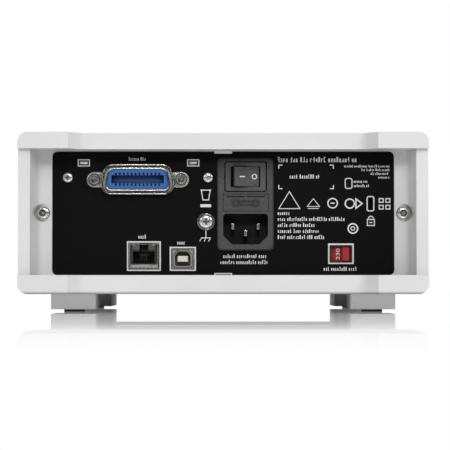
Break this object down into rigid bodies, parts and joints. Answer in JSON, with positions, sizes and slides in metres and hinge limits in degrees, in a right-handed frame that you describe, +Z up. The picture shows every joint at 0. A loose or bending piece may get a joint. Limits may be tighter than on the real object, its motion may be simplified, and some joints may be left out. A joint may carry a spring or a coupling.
{
  "type": "bench multimeter",
  "caption": "Half-rack bench multimeter: sleeve case with end bezels, tilting front feet, sprung keys, input jacks, and a rear panel with mains inlet, rocker, fuse drawer and bus ports.",
  "frame": {"origin": "on the table, under the middle of the case", "axes": "+Z up, display faces -Y, connector panel faces +Y, +X to the right as seen from the display side"},
  "size_m": [0.222, 0.28, 0.097],
  "materials": {
    "sleeve_paint": "satin light grey powder coat",
    "bezel_plastic": "fine moulded texture, off-white",
    "panel_paint": "matt black paint with white print",
    "zinc_steel": "zinc plated sheet",
    "plated_screw": "nickel plated",
    "foot_plastic": "moulded mid grey",
    "pad_rubber": "matt black rubber",
    "module_plastic": "spark-eroded dark grey",
    "plated_pin": "bright nickel",
    "fuse_caps": "bright caps on a glass tube",
    "switch_plastic": "satin near-black",
    "black_plastic": "matt black",
    "selector_red": "satin red",
    "plated_shell": "nickel plated drawn steel",
    "jack_steel": "tin plated folded sheet",
    "bus_blue": "satin blue",
    "contact_gold": "gold flashed",
    "circuit_board": "green solder mask",
    "tongue_plastic": "ivory",
    "olive_plastic": "satin olive brown",
    "core_steel": "varnished laminations",
    "winding_copper": "amber tape over enamelled wire",
    "tinned_steel": "tinned sheet",
    "front_plastic": "light grey panel film",
    "window_black": "clear hard-coated window over a dark display",
    "display_frame": "display frame",
    "mat_rubber": "silicone mat",
    "key_rubber": "satin grey",
    "jack_red": "satin red",
    "jack_black": "satin black"
  },
  "bodies": {
    "case": {"case_sleeve": "sleeve_paint", "front_bezel": "bezel_plastic", "rear_bezel": "bezel_plastic", "rear_panel": "panel_paint", "chassis_tray": "zinc_steel", "bezel_screws": "plated_screw", "rear_feet": "foot_plastic", "front_feet": "foot_plastic", "foot_pads": "pad_rubber", "foot_screws": "plated_screw", "inlet_housing": "module_plastic", "inlet_pins": "plated_pin", "power_switch_frame": "switch_plastic", "voltage_selector_housing": "black_plastic", "bus_shell": "plated_shell", "bus_insert": "bus_blue", "bus_contacts": "contact_gold", "bus_jackscrews": "plated_screw", "bus_bracket": "zinc_steel", "bus_board": "circuit_board", "bracket_screws": "plated_screw", "lan_shell": "jack_steel", "lan_insert": "black_plastic", "usb_shell": "jack_steel", "usb_insert": "olive_plastic", "usb_tongue": "tongue_plastic", "earth_terminal": "plated_screw", "main_board": "circuit_board", "board_standoffs": "contact_gold", "transformer_core": "core_steel", "transformer_windings": "winding_copper", "shield_can": "tinned_steel", "front_panel": "front_plastic", "display_window": "window_black", "display_module": "display_frame", "front_board": "circuit_board", "key_mat": "mat_rubber", "jacks_red": "jack_red", "jacks_black": "jack_black", "jack_contacts": "contact_gold", "current_fuse_cap": "jack_black"},
    "rocker": {"power_rocker": "switch_plastic"},
    "drawer": {"fuse_drawer": "module_plastic", "mains_fuses": "fuse_caps"},
    "selector": {"voltage_selector_slider": "selector_red"},
    "leg_left": {"tilt_leg_left": "foot_plastic"},
    "leg_right": {"tilt_leg_right": "foot_plastic"},
    "key_standby_body": {"key_standby": "key_rubber"},
    "soft_key_1_body": {"soft_key_1": "key_rubber"},
    "soft_key_2_body": {"soft_key_2": "key_rubber"},
    "soft_key_3_body": {"soft_key_3": "key_rubber"},
    "soft_key_4_body": {"soft_key_4": "key_rubber"},
    "key_volts_dc_body": {"key_volts_dc": "key_rubber"},
    "key_volts_ac_body": {"key_volts_ac": "key_rubber"},
    "key_amps_dc_body": {"key_amps_dc": "key_rubber"},
    "key_amps_ac_body": {"key_amps_ac": "key_rubber"},
    "key_ohms_body": {"key_ohms": "key_rubber"},
    "key_continuity_body": {"key_continuity": "key_rubber"},
    "key_capacitance_body": {"key_capacitance": "key_rubber"},
    "key_temperature_body": {"key_temperature": "key_rubber"}
  },
  "joints": [
    {"name": "power_switch", "type": "hinge", "parent": "case", "child": "rocker", "pos_m": [-0.0123, 0.1104, 0.0743], "axis": [0, 0, -1], "range_deg": [0, 26]},
    {"name": "fuse_drawer_slide", "type": "slide", "parent": "case", "child": "drawer", "axis": [0, 1, 0], "range_m": [0, 0.02]},
    {"name": "voltage_selector_slide", "type": "slide", "parent": "case", "child": "selector", "axis": [1, 0, 0], "range_m": [0, 0.0054]},
    {"name": "tilt_leg_left_hinge", "type": "hinge", "parent": "case", "child": "leg_left", "pos_m": [-0.0833, -0.084, 0.0056], "axis": [-1, 0, 0], "range_deg": [0, 95]},
    {"name": "tilt_leg_right_hinge", "type": "hinge", "parent": "case", "child": "leg_right", "pos_m": [0.0833, -0.084, 0.0056], "axis": [-1, 0, 0], "range_deg": [0, 95]},
    {"name": "key_standby_press", "type": "slide", "parent": "case", "child": "key_standby_body", "axis": [0, 1, 0], "range_m": [0, 0.0008], "stiffness_N_per_m": 1200},
    {"name": "soft_key_1_press", "type": "slide", "parent": "case", "child": "soft_key_1_body", "axis": [0, 1, 0], "range_m": [0, 0.0008], "stiffness_N_per_m": 1200},
    {"name": "soft_key_2_press", "type": "slide", "parent": "case", "child": "soft_key_2_body", "axis": [0, 1, 0], "range_m": [0, 0.0008], "stiffness_N_per_m": 1200},
    {"name": "soft_key_3_press", "type": "slide", "parent": "case", "child": "soft_key_3_body", "axis": [0, 1, 0], "range_m": [0, 0.0008], "stiffness_N_per_m": 1200},
    {"name": "soft_key_4_press", "type": "slide", "parent": "case", "child": "soft_key_4_body", "axis": [0, 1, 0], "range_m": [0, 0.0008], "stiffness_N_per_m": 1200},
    {"name": "key_volts_dc_press", "type": "slide", "parent": "case", "child": "key_volts_dc_body", "axis": [0, 1, 0], "range_m": [0, 0.0008], "stiffness_N_per_m": 1200},
    {"name": "key_volts_ac_press", "type": "slide", "parent": "case", "child": "key_volts_ac_body", "axis": [0, 1, 0], "range_m": [0, 0.0008], "stiffness_N_per_m": 1200},
    {"name": "key_amps_dc_press", "type": "slide", "parent": "case", "child": "key_amps_dc_body", "axis": [0, 1, 0], "range_m": [0, 0.0008], "stiffness_N_per_m": 1200},
    {"name": "key_amps_ac_press", "type": "slide", "parent": "case", "child": "key_amps_ac_body", "axis": [0, 1, 0], "range_m": [0, 0.0008], "stiffness_N_per_m": 1200},
    {"name": "key_ohms_press", "type": "slide", "parent": "case", "child": "key_ohms_body", "axis": [0, 1, 0], "range_m": [0, 0.0008], "stiffness_N_per_m": 1200},
    {"name": "key_continuity_press", "type": "slide", "parent": "case", "child": "key_continuity_body", "axis": [0, 1, 0], "range_m": [0, 0.0008], "stiffness_N_per_m": 1200},
    {"name": "key_capacitance_press", "type": "slide", "parent": "case", "child": "key_capacitance_body", "axis": [0, 1, 0], "range_m": [0, 0.0008], "stiffness_N_per_m": 1200},
    {"name": "key_temperature_press", "type": "slide", "parent": "case", "child": "key_temperature_body", "axis": [0, 1, 0], "range_m": [0, 0.0008], "stiffness_N_per_m": 1200}
  ]
}
